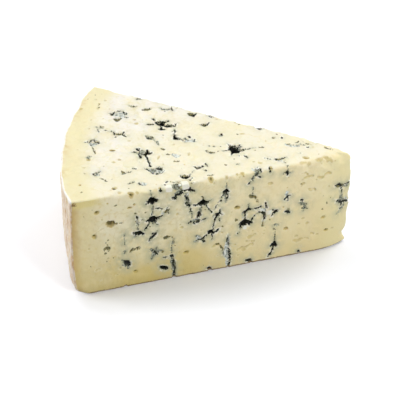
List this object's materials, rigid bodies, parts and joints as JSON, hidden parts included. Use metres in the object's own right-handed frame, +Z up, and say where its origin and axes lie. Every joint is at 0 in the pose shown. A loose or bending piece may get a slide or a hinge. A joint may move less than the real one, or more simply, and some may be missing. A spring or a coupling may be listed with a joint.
{
  "type": "blue cheese wedge",
  "caption": "Wedge of blue cheese with a curved rind at its wide end, pale crumbly paste, dark mould pockets and needle channels, resting on its flat base",
  "frame": {"origin": "middle of the bounding box of the base, on the plane that the wedge rests on", "axes": "+Z up from the base to the cut top; +X from the curved rind to the thin end; -Y towards the front cut"},
  "size_m": [0.1082, 0.0792, 0.0417],
  "materials": {
    "cheese_wedge": "satin"
  },
  "bodies": {
    "root": {"cheese_wedge": "cheese_wedge"}
  },
  "joints": []
}
